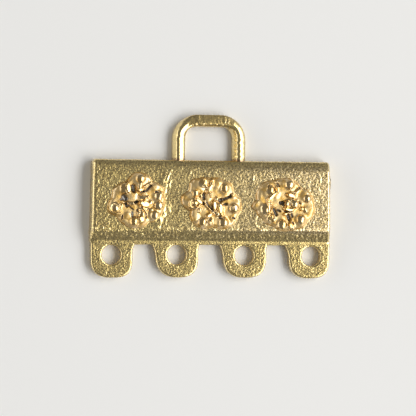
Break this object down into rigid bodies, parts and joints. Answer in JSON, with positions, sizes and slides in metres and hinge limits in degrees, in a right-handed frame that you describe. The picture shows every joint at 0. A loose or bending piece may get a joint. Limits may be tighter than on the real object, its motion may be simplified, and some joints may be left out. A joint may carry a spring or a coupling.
{
  "type": "four-strand connector",
  "caption": "Flat cast jewellery bar with flower rosettes in relief, drilled strand eyelets along one edge and a loop for the clasp on the other.",
  "frame": {"origin": "middle of the footprint's box, on the flat back that it lies on", "axes": "+X along the bar from its left end to its right end as seen from the front, +Y from the eyelets towards the loop, +Z from the back to the decorated front"},
  "size_m": [0.0248, 0.0164, 0.0026],
  "materials": {
    "gold_plate": "gold-plated brass casting: granular matt bar and eyelets, burnished rosettes and loop"
  },
  "bodies": {
    "root": {"bar": "gold_plate", "clasp_loop": "gold_plate", "eyelet_1": "gold_plate", "eyelet_2": "gold_plate", "eyelet_3": "gold_plate", "eyelet_4": "gold_plate"}
  },
  "joints": []
}
